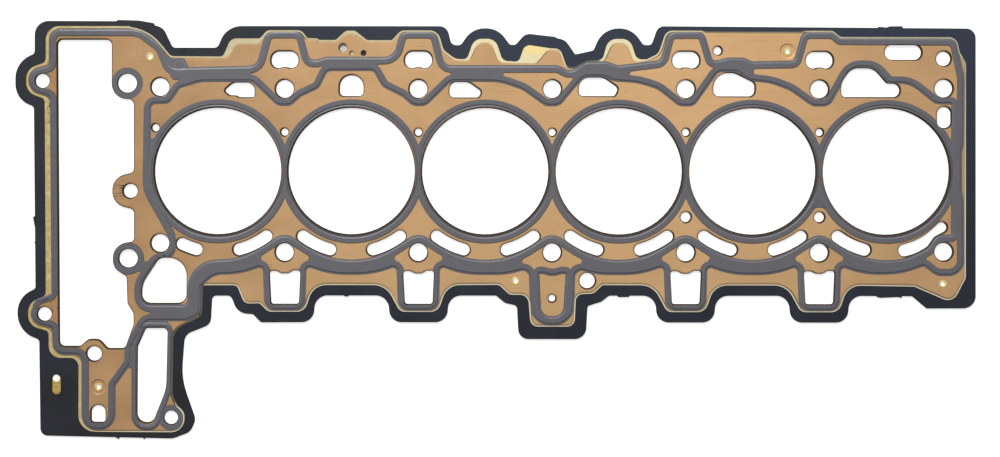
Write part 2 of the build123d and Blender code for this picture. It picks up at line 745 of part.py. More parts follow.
def valley(bore):
    """The fill between the two lower tracks where they close up under one bore."""
    left, right = bore - 0.5, bore + 0.5
    if bore > 0:
        left_reach, left_out = (20.6, 18.1) if left == centre_bay else (16.6, 16.0)
        start = kite(left, left_reach, left_out)
    else:
        start = [down(0, 0, 19.5), down(0, 0, 24.5)]
    if bore < last:
        right_reach, right_out = (-20.6, 18.1) if right == centre_bay else (-16.6, 16.0)
        end = kite(right, right_reach, right_out)
    else:
        end = [down(last, 27.4, 13.5), down(last, 27.4, 18.0)]
    middle = [down(bore, -12.0, 24.0), down(bore, 12.0, 24.0)] if bore > 0 else []
    crest = [down(bore, 12.0, 19.4), down(bore, -12.0, 19.4)] if bore > 0 else []
    return [*start, *middle, *reversed(end), *crest]


# Where the print fills the ground between two tracks
track_fills = [
    *[valley(bore) for bore in range(cylinders)],
    [up(0, -39.0, 39.0), up(0, -32.7, 33.9, 3), up(0, -22.9, 33.9, 3), up(0, -20.3, 28.0, 2),
     up(0, -20.3, 19.0), up(0, -31.0, 19.5, 2), up(0, -36.5, 29.0)],
    [up(0, -33.0, 24.0), up(0, -20.0, 27.0), up(0.5, -21.6, 26.5), up(0.5, -23.2, 23.3),
     up(0.5, -21.8, 20.4), up(0, -15.0, 19.0), up(0, -26.8, 16.6), up(0, -26.2, 18.6),
     up(0, -29.5, 20.4)],
    [up(1, -21.2, 30.2), up(1, -20.4, 28.4), up(1, -19.8, 26.8), up(1, 16.8, 28.4),
     up(1, 18.1, 29.5), up(1, 18.6, 31.0)],
    [up(2, -23.0, 25.5), up(2, 13.0, 25.0), up(2, 11.9, 23.1), up(2, 13.5, 21.2),
     up(2, -20.0, 20.5), up(2, -24.6, 21.6), up(2, -23.6, 23.9)],
    [up(2.5, 14.0, 23.0), up(2.5, 13.4, 21.2), up(2.5, 15.0, 19.5), up(2.5, 22.5, 24.0),
     up(3, -11.0, 24.0), up(3, -3.0, 21.5), up(3, 8.5, 21.6), up(3, 6.9, 23.7),
     up(3, 8.5, 25.6), up(3, -1.0, 26.5), up(3, -9.0, 29.0), up(2.5, 22.5, 28.5)],
    [up(3.5, 20.4, 28.6), up(3.5, 19.6, 26.9), up(3.5, 21.3, 25.2), up(4, -10.0, 27.5),
     up(4, -2.0, 23.0), up(4, 2.0, 22.0), up(4, 0.6, 25.0), up(4, 1.5, 27.6), up(4, -2.0, 29.5),
     up(4, -17.0, 32.0)],
    [down(0, 1.0, 19.5), down(0, -7.0, 21.0), down(0, -14.0, 28.0), down(0, -18.3, 38.0),
     down(0, -19.5, 56.0), down(0, -14.4, 54.0), down(0, -14.2, 37.0), down(0, -8.0, 30.0),
     down(0, 1.0, 25.0)],
    [down(0, -46.4, 51.0), down(0, -15.0, 51.0), down(0, -15.0, 57.0), down(0, -46.4, 57.0)],
    [down(0, -52.0, 58.0), down(0, -34.0, 58.0), down(0, -34.0, 65.0), down(0, -52.0, 65.0)],
    [down(0, -61.5, 84.0), down(0, -57.0, 84.0), down(0, -58.2, 91.4, 0.6), down(0, -61.0, 91.4, 0.6)],
    [down(0, -53.0, 18.4), down(0, -47.5, 18.4), down(0, -51.0, 25.5), down(0, -55.0, 24.8)],
    [up(0, -46.5, -20.7), up(0, -43.0, -20.7), up(0, -46.5, -28.0)],
    [down(4.5, -3.0, -26.5), down(4.5, 3.0, -26.5), down(4.5, 6.6, -14.0), down(4.5, 2.4, -18.4, 3),
     down(4.5, -2.4, -18.4, 3), down(4.5, -6.6, -14.0)],
]
feed_ring = (oil_feed[0], 21.2)
return_ring = (oil_return[0], 21.4)
foot_ring = (foot_hole[0], 17.4)


def bore_ring(bay):
    """The print round one bore, a little in from its edge."""
    disc((bay * bore_pitch, 0), bore_diameter + 2 * (bore_ring_gap + bore_ring_width))


# Main print, one joined field
with BuildPart() as sealing_track:
    with BuildSketch(Plane.XY.offset(track_base)):
        for corners in [inner_track, outer_track, centre_track]:
            band(corners, track_width)
        band(slot_track, slot_track_width)
        for corners in track_fills:
            plate(corners)
        for place, diameter in [return_ring, foot_ring]:
            disc(place, diameter)
        for bay in range(cylinders):
            bore_ring(bay)
        plate(upper_edge, mode=Mode.INTERSECT)
        add(upper_cut, mode=Mode.SUBTRACT)
        for bay in range(cylinders):
            disc((bay * bore_pitch, 0), bore_diameter + 2 * (bore_ring_gap + hole_step),
                 mode=Mode.SUBTRACT)
    extrude(amount=track_thickness)
    with BuildSketch(Plane.XY.offset(track_base + track_thickness)):
        for corners in [inner_track, outer_track, slot_track, centre_track]:
            band(corners, bead_width)
        for bay in range(cylinders):
            disc((bay * bore_pitch, 0), bore_diameter + 2 * bore_bead_line + bead_width)
        for bay in range(cylinders):
            disc((bay * bore_pitch, 0), bore_diameter + 2 * bore_bead_line - bead_width,
                 mode=Mode.SUBTRACT)
        add(upper_cut, mode=Mode.SUBTRACT)
    extrude(amount=bead_height)

# Ring printed by itself round the oil feed
with BuildPart() as feed_track:
    with BuildSketch(Plane.XY.offset(track_base)):
        disc(*feed_ring)
        add(upper_cut, mode=Mode.SUBTRACT)
    extrude(amount=track_thickness)


def eyelet(place, top):
    """A hollow rivet: one flange on the upper sheet, one in its seat in the lower sheet."""
    with BuildPart() as rivet:
        with BuildSketch():
            disc(place, eyelet_flange)
        extrude(amount=eyelet_flange_thickness)
        with BuildSketch():
            disc(place, eyelet_barrel)
        extrude(amount=top)
        with BuildSketch(Plane.XY.offset(top)):
            disc(place, eyelet_flange)
        extrude(amount=eyelet_flange_thickness)
        with BuildSketch():
            disc(place, eyelet_bore)
        extrude(amount=top + eyelet_flange_thickness, mode=Mode.SUBTRACT)
    return rivet


carrier_layer.part.label = "carrier_layer"
lower_layer.part.label = "lower_layer"
middle_layer.part.label = "middle_layer"
upper_layer.part.label = "upper_layer"
sealing_track.part.label = "sealing_track"
feed_track.part.label = "feed_track"

os.makedirs("parts", exist_ok=True)
export_step(lower_layer.part, "parts/lower_layer.step")
export_step(carrier_layer.part, "parts/carrier_layer.step")
export_step(middle_layer.part, "parts/middle_layer.step")
export_step(upper_layer.part, "parts/upper_layer.step")
export_step(sealing_track.part, "parts/sealing_track.step")
export_step(feed_track.part, "parts/feed_track.step")
for number, place in enumerate(eyelet_places, start=1):
    seat = track_base - dimple_depth if place in dimple_places else track_base
    rivet = eyelet(place, seat)
    rivet.part.label = f"eyelet_{number}"
    export_step(rivet.part, f"parts/eyelet_{number}.step")
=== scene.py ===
import json
from math import radians

import bpy
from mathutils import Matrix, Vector

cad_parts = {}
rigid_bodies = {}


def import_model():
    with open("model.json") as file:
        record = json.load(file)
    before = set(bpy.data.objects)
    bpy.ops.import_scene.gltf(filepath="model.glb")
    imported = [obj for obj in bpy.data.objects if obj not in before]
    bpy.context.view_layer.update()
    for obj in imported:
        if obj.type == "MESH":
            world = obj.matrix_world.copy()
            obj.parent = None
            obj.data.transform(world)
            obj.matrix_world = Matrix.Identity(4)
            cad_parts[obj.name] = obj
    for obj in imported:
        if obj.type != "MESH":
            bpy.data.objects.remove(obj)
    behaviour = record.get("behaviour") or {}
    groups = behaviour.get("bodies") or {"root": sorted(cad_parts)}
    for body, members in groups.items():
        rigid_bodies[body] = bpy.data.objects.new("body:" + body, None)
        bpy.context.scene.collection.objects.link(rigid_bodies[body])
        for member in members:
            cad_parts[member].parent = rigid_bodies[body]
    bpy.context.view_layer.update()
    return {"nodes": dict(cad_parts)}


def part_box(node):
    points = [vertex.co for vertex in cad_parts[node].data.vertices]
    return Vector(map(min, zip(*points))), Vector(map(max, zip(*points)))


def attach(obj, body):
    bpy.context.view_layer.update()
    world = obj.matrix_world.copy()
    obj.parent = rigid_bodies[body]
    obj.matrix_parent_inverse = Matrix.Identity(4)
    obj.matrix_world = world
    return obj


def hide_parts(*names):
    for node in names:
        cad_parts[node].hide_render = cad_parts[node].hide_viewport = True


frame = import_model()


# Lower sheet. Spring steel with a thin golden coat, blanked a little smaller than the carrier.
# It shows in the corner slot, and bright and bare in the largest check hole.
def finish(name, roughness, metallic=0.0, specular=0.5):
    """A new material with its shader's plain values set."""
    made = bpy.data.materials.new(name)
    made.use_nodes = True
    shader = made.node_tree.nodes["Principled BSDF"]
    shader.inputs["Roughness"].default_value = roughness
    shader.inputs["Metallic"].default_value = metallic
    shader.inputs["Specular IOR Level"].default_value = specular
    return made


def feed(made, socket, value):
    """Links a pattern to a socket, or sets a plain value there."""
    if hasattr(value, "is_output"):
        made.node_tree.links.new(value, socket)
    else:
        socket.default_value = value


def node(made, kind, **values):
    """A shader node with its settings and its inputs given by name."""
    added = made.node_tree.nodes.new(kind)
    for name, value in values.items():
        if hasattr(added, name):
            setattr(added, name, value)
        else:
            feed(made, added.inputs[name], value)
    return added


def place(made):
    """The point of the piece that is being shaded, in metres."""
    return node(made, "ShaderNodeTexCoord").outputs["Object"]


def grain(made, stretch, size, detail=3.0):
    """Noise of one grain size, from 0 to 1, drawn out along an axis by stretch."""
    laid = node(made, "ShaderNodeMapping", Vector=place(made), Scale=stretch)
    field = node(made, "ShaderNodeTexNoise", Vector=laid.outputs[0], Scale=1 / size, Detail=detail)
    return field.outputs["Fac"]


def ramp(made, value, low, high, start=0.0, end=1.0):
    """A value read from low to high as start to end, held at both ends."""
    read = node(made, "ShaderNodeMapRange", Value=value)
    for name, number in (("From Min", low), ("From Max", high), ("To Min", start), ("To Max", end)):
        read.inputs[name].default_value = number
    return read.outputs["Result"]


def mixed(made, share, first, second):
    """Two colours mixed by a share that is a number or a pattern."""
    mix = node(made, "ShaderNodeMix", data_type="RGBA")
    # A mix of colours has its share in socket 0, its colours in 6 and 7 and its result in 2.
    for socket, value in ((0, share), (6, first), (7, second)):
        feed(made, mix.inputs[socket], value)
    return mix.outputs[2]


def away(made, x, y):
    """How far the shaded point lies from one point of the sheet, in metres."""
    flat = node(made, "ShaderNodeVectorMath", operation="MULTIPLY")
    feed(made, flat.inputs[0], place(made))
    feed(made, flat.inputs[1], (1, 1, 0))
    gap = node(made, "ShaderNodeVectorMath", operation="DISTANCE")
    feed(made, gap.inputs[0], flat.outputs[0])
    feed(made, gap.inputs[1], (x, y, 0))
    return gap.outputs["Value"]


def near(made, x, y, radius, edge):
    """1 inside a round of the sheet and 0 outside it, with a soft edge."""
    return ramp(made, away(made, x, y), radius - edge, radius + edge, 1.0, 0.0)


def colour(red, green, blue):
    """A colour as it is seen on a screen, 0 to 255, in the linear light of a shader."""
    levels = [level / 255 for level in (red, green, blue)]
    linear = [level / 12.92 if level < 0.04045 else ((level + 0.055) / 1.055) ** 2.4
              for level in levels]
    return (*linear, 1.0)


def coat(made, base, bump, depth=0.00002, relief=0.0):
    """Links a colour and a fine bump, and a gain for the relief of the mesh itself."""
    shader = made.node_tree.nodes["Principled BSDF"]
    feed(made, shader.inputs["Base Color"], base)
    raised = node(made, "ShaderNodeBump", Height=bump, Strength=0.5, Distance=depth)
    if relief:
        height = node(made, "ShaderNodeSeparateXYZ", Vector=place(made)).outputs["Z"]
        steeper = node(made, "ShaderNodeBump", Height=height, Strength=1.0, Distance=relief)
        feed(made, raised.inputs["Normal"], steeper.outputs[0])
    feed(made, shader.inputs["Normal"], raised.outputs[0])


def dress(piece, made):
    """Gives a piece one material in place of what it had."""
    piece.data.materials.clear()
    piece.data.materials.append(made)


check_hole = (0.0852, 0.0840)
golden = finish("golden_steel", 0.42, 0.35)
rolled = grain(golden, (4, 60, 60), 0.04)
golden_base = mixed(golden, ramp(golden, rolled, 0.35, 0.65),
                    colour(176, 150, 78), colour(206, 180, 106))
bare = near(golden, *check_hole, 0.006, 0.001)
golden_base = mixed(golden, bare, golden_base, colour(206, 206, 198))
coat(golden, golden_base, rolled)
dress(frame["nodes"]["lower_layer"], golden)


# Carrier. The thick middle plate of the stack, with a matt blue-black coating all over.
# Its rim shows outside the other sheets, bluer along the far side by painted light.
edge_width = 0.0009
shade_middle = Vector((0.15, 0.05, 0))
least_rim = 0.25


def worked(made, kind, first, second=0.0):
    """One value worked with another by a plain sum, such as MULTIPLY."""
    total = node(made, "ShaderNodeMath", operation=kind)
    feed(made, total.inputs[0], first)
    feed(made, total.inputs[1], second)
    return total.outputs[0]


def along(made, axis, low, high):
    """0 at low and 1 at high along one axis of the sheet."""
    apart = node(made, "ShaderNodeSeparateXYZ", Vector=place(made))
    return ramp(made, apart.outputs[axis], low, high)


def upright(made):
    """1 on a cut edge, 0 on the flat of a sheet."""
    facing = node(made, "ShaderNodeNewGeometry").outputs["Normal"]
    apart = node(made, "ShaderNodeSeparateXYZ", Vector=facing)
    return ramp(made, worked(made, "ABSOLUTE", apart.outputs["Z"]), 0.3, 0.8, 1.0, 0.0)


def laid_over(made, base, mask, share, shade):
    """A colour with another laid over it, as far as a mask times a share goes."""
    return mixed(made, worked(made, "MULTIPLY", mask, share), base, shade)


def take(name, source):
    """A merged copy of a CAD node's mesh as a new piece, selected and active."""
    made = frame["nodes"][source].copy()
    made.data = made.data.copy()
    made.name = name
    made.data.name = name
    bpy.context.scene.collection.objects.link(made)
    bpy.ops.object.select_all(action="DESELECT")
    made.select_set(True)
    bpy.context.view_layer.objects.active = made
    bpy.ops.object.mode_set(mode="EDIT")
    bpy.ops.mesh.select_mode(type="VERT")
    bpy.ops.mesh.select_all(action="SELECT")
    bpy.ops.mesh.remove_doubles(threshold=0.000001)
    bpy.ops.mesh.select_all(action="DESELECT")
    bpy.ops.object.mode_set(mode="OBJECT")
    bpy.ops.mesh.customdata_custom_splitnormals_clear()
    bpy.ops.object.shade_flat()
    return made


def roll_edges(made, width, drop):
    """Turns the upper faces' borders down, and marks them in "rim" for painted shade, most where
    they are dark.
    """
    mesh = made.data
    above_floor = min(corner.co.z for corner in mesh.vertices) + 0.00001
    bpy.ops.object.mode_set(mode="EDIT")
    bpy.ops.mesh.select_mode(type="FACE")
    bpy.ops.object.mode_set(mode="OBJECT")
    for face in mesh.polygons:
        face.select = face.normal.z > 0.5 and face.center.z > above_floor
    bpy.ops.object.mode_set(mode="EDIT")
    bpy.ops.mesh.inset(thickness=width, depth=0, use_boundary=True, use_even_offset=False)
    bpy.ops.object.mode_set(mode="OBJECT")
    rim = mesh.attributes.new("rim", "FLOAT", "POINT")
    walls = {}
    for face in mesh.polygons:
        if abs(face.normal.z) < 0.3:
            for index in face.vertices:
                walls[index] = walls.get(index, Vector((0, 0, 0))) + face.normal
    # Painted shade: a wall that faces the middle of the sheet is fully dark, and one that looks
    # away hardly.
    for index, facing in walls.items():
        corner = mesh.vertices[index]
        inward = Vector((shade_middle.x - corner.co.x, shade_middle.y - corner.co.y, 0))
        shade = 0.3 + 1.2 * facing.normalized().dot(inward.normalized())
        rim.data[index].value = least_rim + (1 - least_rim) * min(1.0, max(0.0, shade))
        if corner.co.z > above_floor:
            corner.co.z -= drop


def rim_painted_shade(made, base, rim_shade, share):
    """A colour that goes over to a darker one along the marked borders, as painted shade."""
    marked = node(made, "ShaderNodeAttribute", attribute_name="rim").outputs["Fac"]
    return mixed(made, ramp(made, marked, 0.05, 0.55, 0.0, share), base, rim_shade)


dark = finish("blue_black_coating", 0.55, specular=0.35)
# Painted light: the coating goes lighter and bluer towards the far side and the right, darker
# towards the foot.
dark_top = mixed(dark, along(dark, "X", -0.02, 0.18), colour(31, 33, 37), colour(41, 48, 62))
dark_foot = mixed(dark, along(dark, "Y", -0.17, -0.09), colour(28, 30, 34), colour(30, 34, 42))
dark_painted_light = mixed(dark, along(dark, "Y", -0.03, 0.09), dark_foot, dark_top)
cloud = grain(dark, (1, 1, 1), 0.02, 4)
dark_base = mixed(dark, ramp(dark, cloud, 0.4, 0.7, 0.0, 0.3), dark_painted_light, colour(46, 52, 64))
# Painted shade along the carrier's cut borders, darkest on walls that face the middle of the sheet.
dark_base = rim_painted_shade(dark, dark_base, colour(12, 11, 12), 0.9)
dark_base = laid_over(dark, dark_base, upright(dark), 0.95, colour(14, 13, 14))
coat(dark, dark_base, grain(dark, (1, 1, 1), 0.0006, 2))

carrier = take("carrier_plate", "carrier_layer")
roll_edges(carrier, edge_width, 0.00002)
dress(carrier, dark)
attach(carrier, "root")
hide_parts("carrier_layer")


# Middle sheet. Thin steel with a pale yellow lacquer that shows as a rim round the upper sheet.
# It is painted creamier where light falls on it, and a deeper gold along the timing end.
def between(made, axis, low, high, edge):
    """1 from low to high along one axis of the sheet, fading to 0 over an edge."""
    rise = along(made, axis, low - edge, low)
    fall = along(made, axis, high + edge, high)
    return worked(made, "MULTIPLY", rise, fall)


def patch(made, x_ends, y_ends, x_edge, y_edge):
    """1 inside an oblong of the sheet, fading to 0 over its edges."""
    in_x = between(made, "X", *x_ends, x_edge)
    in_y = between(made, "Y", *y_ends, y_edge)
    return worked(made, "MULTIPLY", in_x, in_y)


pale = finish("pale_lacquer", 0.45, specular=0.35)
# Painted light: a brighter cream along the middle of the far side, duller beyond it.
far_cream_painted_light = mixed(pale, between(pale, "X", 0.165, 0.295, 0.02),
                  colour(186, 173, 136), colour(218, 207, 163))
far_cream_painted_light = mixed(pale, along(pale, "X", 0.36, 0.46), far_cream_painted_light, colour(166, 158, 131))
cream = mixed(pale, along(pale, "Y", -0.03, 0.06), colour(208, 198, 174), far_cream_painted_light)
gold_end = mixed(pale, along(pale, "X", -0.10, -0.05), colour(174, 152, 98), cream)
flecked = ramp(pale, grain(pale, (12, 12, 1), 0.05, 4), 0.45, 0.7, 0.0, 0.5)
pale_base = mixed(pale, flecked, gold_end, colour(206, 194, 156))
streak = worked(pale, "MULTIPLY", near(pale, 0.2150, 0.0822, 0.0085, 0.005),
                ramp(pale, along(pale, "Y", 0.0775, 0.0815), 0.2, 0.9))
pale_base = laid_over(pale, pale_base, streak, 0.55, colour(240, 206, 120))
worn_spots = ramp(pale, grain(pale, (1, 0.45, 1), 0.0016, 2), 0.53, 0.58)
worn_strip = patch(pale, (-0.1175, -0.1135), (0.034, 0.049), 0.0004, 0.002)
pale_base = laid_over(pale, pale_base, worn_spots, worn_strip, colour(70, 62, 50))
# Where the rim doesn't show pale: the foot's right side, the dip, and a part of the far side.
dark_sides = [
    ((-0.036, -0.010), (-0.157, -0.074), 0.001, 0.004, 0.85, colour(44, 42, 42)),
    ((0.2385, 0.2590), (0.064, 0.0755), 0.002, 0.001, 0.85, colour(48, 50, 56)),
    ((0.333, 0.398), (0.092, 0.100), 0.004, 0.001, 0.6, colour(74, 62, 50)),
]
for x_ends, y_ends, x_edge, y_edge, share, shade in dark_sides:
    side = patch(pale, x_ends, y_ends, x_edge, y_edge)
    pale_base = laid_over(pale, pale_base, side, share, shade)
pale_base = laid_over(pale, pale_base, upright(pale), 0.8, colour(66, 58, 46))
coat(pale, pale_base, grain(pale, (4, 60, 60), 0.03))
dress(frame["nodes"]["middle_layer"], pale)


# Upper sheet. Rolled spring steel under a brown lacquer, whose rolling lines run with the bores.
# It is blanked, coined round two rivets, and scratched by handling at the timing end.
bore_pitch = 0.091
last_bore = 5


def from_bores(made):
    """How far the shaded point lies from the middle of the nearest bore, in metres."""
    apart = node(made, "ShaderNodeSeparateXYZ", Vector=place(made))
    in_row = ramp(made, apart.outputs["X"], 0, last_bore * bore_pitch,
                  bore_pitch / 2, (last_bore + 0.5) * bore_pitch)
    number = worked(made, "FLOOR", worked(made, "DIVIDE", in_row, bore_pitch))
    middle = worked(made, "MULTIPLY", number, bore_pitch)
    across = worked(made, "SUBTRACT", apart.outputs["X"], middle)
    squares = worked(made, "ADD", worked(made, "MULTIPLY", across, across),
                     worked(made, "MULTIPLY", apart.outputs["Y"], apart.outputs["Y"]))
    return worked(made, "SQRT", squares)


brown = finish("brown_lacquer", 0.5, specular=0.35)
# Painted light and shade: a lit copy of the brown on the far side, a shaded copy on the near side,
# both darker towards the timing end.
far_side_painted_light = mixed(brown, along(brown, "X", -0.12, 0.10), colour(137, 105, 73), colour(183, 146, 103))
far_side_painted_light = mixed(brown, between(brown, "X", 0.27, 0.36, 0.08), far_side_painted_light, colour(199, 159, 113))
far_side_painted_light = mixed(brown, along(brown, "X", 0.40, 0.52), far_side_painted_light, colour(172, 137, 96))
lower = mixed(brown, along(brown, "X", -0.10, 0.10), colour(150, 115, 80), colour(182, 147, 104))
lower = mixed(brown, along(brown, "X", 0.38, 0.50), lower, colour(166, 132, 94))
painted_light_and_shade = mixed(brown, along(brown, "Y", -0.09, 0.03), lower, far_side_painted_light)
lines = grain(brown, (1.0, 45, 1), 0.045, 5)
streaked = mixed(brown, ramp(brown, lines, 0.3, 0.7, 0.0, 0.35), painted_light_and_shade, colour(170, 131, 90))
clouds = ramp(brown, grain(brown, (1, 1.6, 1), 0.035, 3), 0.35, 0.7, 0.0, 0.3)
clouded = mixed(brown, clouds, streaked, colour(206, 168, 120))
hairs = worked(brown, "MULTIPLY", ramp(brown, grain(brown, (1, 130, 1), 0.030, 2), 0.665, 0.70),
               along(brown, "Y", -0.03, 0.02))
scratched = laid_over(brown, clouded, hairs, 0.75, colour(126, 94, 62))
rub_ends = (-0.0712, -0.0640)
rub = patch(brown, rub_ends, (-0.0185, -0.0095), 0.0004, 0.001)
rub_lines = ramp(brown, grain(brown, (1, 9, 1), 0.0065, 4), 0.50, 0.55)
rub_depth = ramp(brown, along(brown, "X", *rub_ends), 0.55, 0.8, 0.35, 1.0)
rub = worked(brown, "MULTIPLY", rub, rub_depth)
scratched = laid_over(brown, scratched, rub, rub_lines, colour(38, 32, 28))
window_side = patch(brown, (-0.1135, -0.1088), (-0.150, 0.075), 0.0008, 0.002)
window_wear = ramp(brown, grain(brown, (2, 0.6, 1), 0.003, 3), 0.60, 0.66)
scratched = laid_over(brown, scratched, window_side, window_wear, colour(70, 56, 42))
specks = ramp(brown, grain(brown, (1, 1, 1), 0.0022, 2), 0.73, 0.77)
scratched = laid_over(brown, scratched, specks, 0.5, colour(104, 78, 52))
edge_brown = colour(40, 30, 22)
# Painted shade along the brown sheet's cut borders, darkest on walls that face the middle of the
# sheet.
scratched = rim_painted_shade(brown, scratched, edge_brown, 0.92)
# Painted shade at the bores' edges, strong on the near side and faint on the far side.
bore_edge_painted_shade = ramp(brown, from_bores(brown), 0.0440, 0.0443, 0.75, 0.0)
painted_shade_less_far = ramp(brown, along(brown, "Y", -0.020, 0.030), 0.0, 1.0, 1.0, 0.15)
scratched = laid_over(brown, scratched, bore_edge_painted_shade, painted_shade_less_far, edge_brown)
scratched = laid_over(brown, scratched, upright(brown), 0.9, edge_brown)
coat(brown, scratched, lines, relief=3.0)

upper_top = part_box("upper_layer")[1][2]
dishes = [Vector((0.3877, 0.0819, 0)), Vector((-0.0813, -0.1471, 0))]
dish_radius = 0.0053
dish_depth = 0.0001
dish_floor_share = 0.86
upper = take("upper_sheet", "upper_layer")
# The dishes' floors are drawn in, so that their walls slope.
for corner in upper.data.vertices:
    flat = Vector((corner.co.x, corner.co.y, 0))
    for dish in dishes:
        on_rim = abs((flat - dish).length - dish_radius) < 0.0001
        if on_rim and abs(corner.co.z - upper_top + dish_depth) < dish_depth / 2:
            moved = dish + (flat - dish) * dish_floor_share
            corner.co.x, corner.co.y = moved.x, moved.y
roll_edges(upper, edge_width, 0.00004)
dress(upper, brown)
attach(upper, "root")
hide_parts("upper_layer")


# Sealing print. Grey elastomer laid on the upper sheet in one joined field. The steel under it
# is embossed, so the ground between its two tracks stands higher, and each bore has a groove.
# The ring round the oil feed hole is of the same print, and lies by itself.
grey = finish("grey_elastomer", 0.52, specular=0.38)
tone = mixed(grey, along(grey, "X", -0.12, -0.02), colour(84, 83, 88), colour(93, 92, 97))
speck = ramp(grey, grain(grey, (1, 1, 1), 0.004, 4), 0.35, 0.7, 0.0, 0.35)
grey_base = mixed(grey, speck, tone, colour(100, 99, 105))
# A painted highlight: a lighter ring on the crest of a round ridge of the print.
highlight_middle = (-0.026, 0.0717)
painted_ring_highlight = worked(grey, "MULTIPLY", near(grey, *highlight_middle, 0.0040, 0.0004),
                    ramp(grey, away(grey, *highlight_middle), 0.0028, 0.0036))
grey_base = laid_over(grey, grey_base, painted_ring_highlight, 0.35, colour(134, 133, 138))
groove_inner = 0.0447
# Painted shade along the inner lip of each bore's ring of print.
ring_lip_painted_shade = ramp(grey, from_bores(grey), 0.0443, groove_inner, 0.2, 0.0)
grey_base = mixed(grey, ring_lip_painted_shade, grey_base, colour(58, 57, 60))
# Painted shade along the print's borders, darkest on walls that face the middle of the sheet.
grey_base = rim_painted_shade(grey, grey_base, colour(66, 64, 68), 0.6)
grey_base = laid_over(grey, grey_base, upright(grey), 0.9, colour(40, 39, 42))
coat(grey, grey_base, grain(grey, (1, 1, 1), 0.0005, 2), 0.00001, relief=0.7)
dress(frame["nodes"]["feed_track"], grey)

print_thickness = 0.00008
relief_rise = 0.00008
same_level = 0.00002
wedge_x = 0.2387
wedge_half_width = 0.0014
wedge_ends = (-0.095, -0.080)
bridge_half_width = 0.0035
bridge_half_length = 0.018
print_low, print_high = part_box("sealing_track")
print_level = print_low[2] + print_thickness
cad_bead = print_high[2]
bead_level = cad_bead + relief_rise
seal = take("printed_seal", "sealing_track")
mesh = seal.data


def bore_distance(point):
    """How far a point of the print lies from the middle of its nearest bore."""
    nearest = min(last_bore, max(0, round(point.x / bore_pitch)))
    return Vector((point.x - nearest * bore_pitch, point.y)).length


def in_wedge(point):
    """Whether a point lies in the slim wedge beside the closed loop, which is raised as a whole."""
    beside = abs(point.x - wedge_x) < wedge_half_width
    return beside and wedge_ends[0] < point.y < wedge_ends[1]


def in_bridge(point):
    """Whether a point lies in the narrow ground between two bores, where flanks have no room."""
    off_middle = abs((point.x / bore_pitch) % 1 - 0.5) * bore_pitch
    return off_middle < bridge_half_width and abs(point.y) < bridge_half_length


def at_level(face, level):
    """Whether a face lies flat at one height."""
    return face.normal.z > 0.9 and abs(face.center.z - level) < same_level


# The raised ground between the two tracks is picked by one of its faces, below the second bore.
ground_spot = Vector((bore_pitch, -0.0650))
bpy.ops.object.mode_set(mode="EDIT")
bpy.ops.mesh.select_mode(type="FACE")
bpy.ops.object.mode_set(mode="OBJECT")
low_faces = [face for face in mesh.polygons if at_level(face, print_level)]
for face in mesh.polygons:
    face.select = False
    face.hide = not at_level(face, print_level)
seed = min(low_faces, key=lambda face: (Vector(face.center.xy) - ground_spot).length)
seed.select = True
mesh.polygons.active = seed.index
bpy.ops.object.mode_set(mode="EDIT")
bpy.ops.mesh.select_linked(delimit=set())
bpy.ops.object.mode_set(mode="OBJECT")
raised = {index for face in mesh.polygons if face.select for index in face.vertices}
for part in (*mesh.polygons, *mesh.edges, *mesh.vertices):
    part.hide = False

# That ground, the wedge and both sides of each bore's groove go up to the raised bead's level.
groove_outer = 0.0472
ring_outer = 0.0490
for index, corner in enumerate(mesh.vertices):
    if corner.co.z > cad_bead - same_level:
        corner.co.z = bead_level
    elif abs(corner.co.z - print_level) < same_level:
        ring = bore_distance(corner.co)
        beside_groove = ring < groove_inner or groove_outer < ring < ring_outer
        if index in raised or in_wedge(corner.co) or beside_groove:
            corner.co.z = bead_level
bpy.ops.object.mode_set(mode="EDIT")
bpy.ops.mesh.select_all(action="SELECT")
bpy.ops.mesh.remove_doubles(threshold=0.000002)
bpy.ops.mesh.beautify_fill(angle_limit=radians(1))
bpy.ops.mesh.select_all(action="DESELECT")
bpy.ops.object.mode_set(mode="OBJECT")

# What is left of the bead's upright sides is laid over into soft flanks.
foot_spread = 0.0005
crest_spread = 0.0004
ring_spread = 0.0008
ring_flank = (0.0440, 0.0462)
tight_share = 0.2
outward = {}
for face in mesh.polygons:
    if abs(face.normal.z) < 0.1:
        heights = [mesh.vertices[index].co.z for index in face.vertices]
        if min(heights) > print_level - same_level:
            for index in face.vertices:
                outward.setdefault(index, Vector((0, 0, 0)))
                outward[index] += face.normal * face.area
flat_faces = [face.index for face in mesh.polygons if face.normal.z > 0.9]
stood = {index: mesh.vertices[index].co.copy() for index in outward}
for index, push in outward.items():
    corner = mesh.vertices[index]
    push.z = 0
    if push.length == 0:
        continue
    push.normalize()
    if in_bridge(corner.co) or in_wedge(corner.co):
        push *= tight_share
    in_ring = ring_flank[0] < bore_distance(corner.co) < ring_flank[1]
    if in_ring and corner.co.z > bead_level - same_level:
        corner.co -= push * ring_spread
    elif not in_ring and abs(corner.co.z - print_level) < same_level:
        corner.co += push * foot_spread
    elif not in_ring:
        corner.co -= push * crest_spread

# A corner whose move turned a face over goes back to where it stood, which can turn another.
settling_rounds = 8
for _ in range(settling_rounds):
    mesh.update()
    turned = {index for number in flat_faces if mesh.polygons[number].normal.z < 0
              for index in mesh.polygons[number].vertices}
    for index in turned & set(stood):
        mesh.vertices[index].co = stood[index]
mesh.update()
roll_edges(seal, 0.0004, 0.00003)
for corner in mesh.vertices:
    corner.co.z = min(bead_level, corner.co.z)
dress(seal, grey)
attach(seal, "root")
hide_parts("sealing_track")


